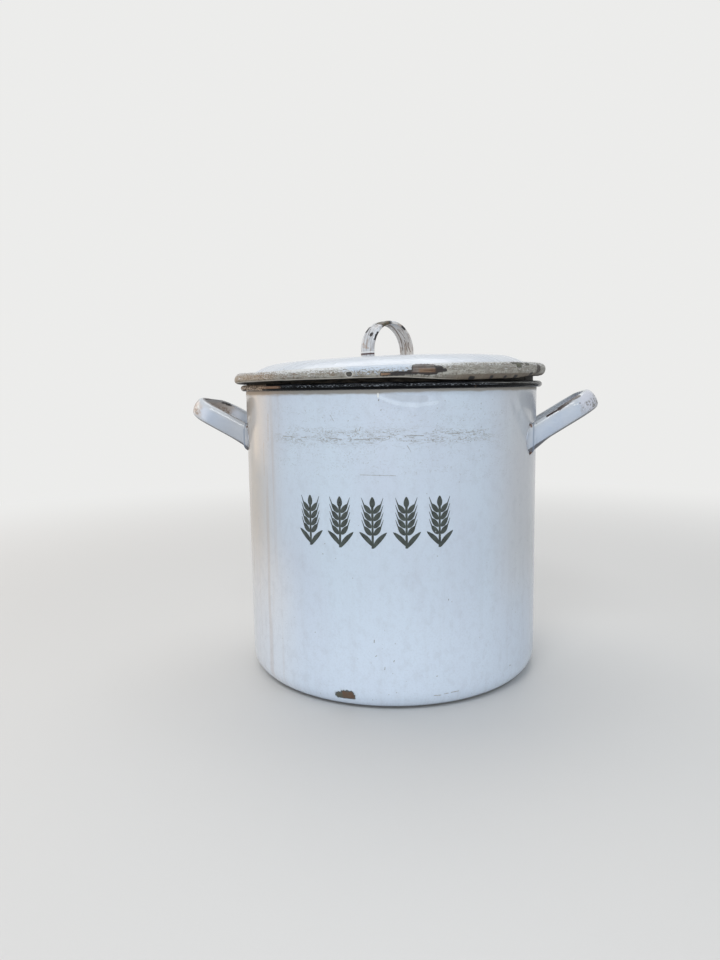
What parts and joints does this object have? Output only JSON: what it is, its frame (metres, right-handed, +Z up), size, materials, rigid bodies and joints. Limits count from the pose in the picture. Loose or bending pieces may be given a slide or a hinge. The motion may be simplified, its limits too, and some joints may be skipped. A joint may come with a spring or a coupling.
{
  "type": "enamel bread bin",
  "caption": "Round straight-sided enamelled steel bread bin with a wired rim, side strap handles and a lift-off domed lid with a strap handle.",
  "frame": {"origin": "on the table plane, at the centre of the bin's base", "axes": "+Z up along the bin's axis, +X towards the right-hand side handle, the decorated front towards -Y"},
  "size_m": [0.405, 0.3126, 0.3516],
  "materials": {
    "white_enamel": "glossy white vitreous enamel, chipped",
    "rim_wire_steel": "plain drawn wire",
    "handle_enamel": "glossy white vitreous enamel, worn at the edges",
    "lid_enamel": "glossy white vitreous enamel with a worn grey rolled edge",
    "collar_enamel": "worn dark enamel",
    "lid_handle_enamel": "glossy white vitreous enamel, chipped to dark steel"
  },
  "bodies": {
    "bin": {"bin_wall": "white_enamel", "bin_rim_wire": "rim_wire_steel", "bin_base": "white_enamel", "right_handle": "handle_enamel", "left_handle": "handle_enamel"},
    "lid": {"lid_shell": "lid_enamel", "lid_collar": "collar_enamel", "lid_handle": "lid_handle_enamel"}
  },
  "joints": [
    {"name": "lid_lift", "type": "slide", "parent": "bin", "child": "lid", "axis": [0, 0, 1], "range_m": [0, 0.25]}
  ]
}
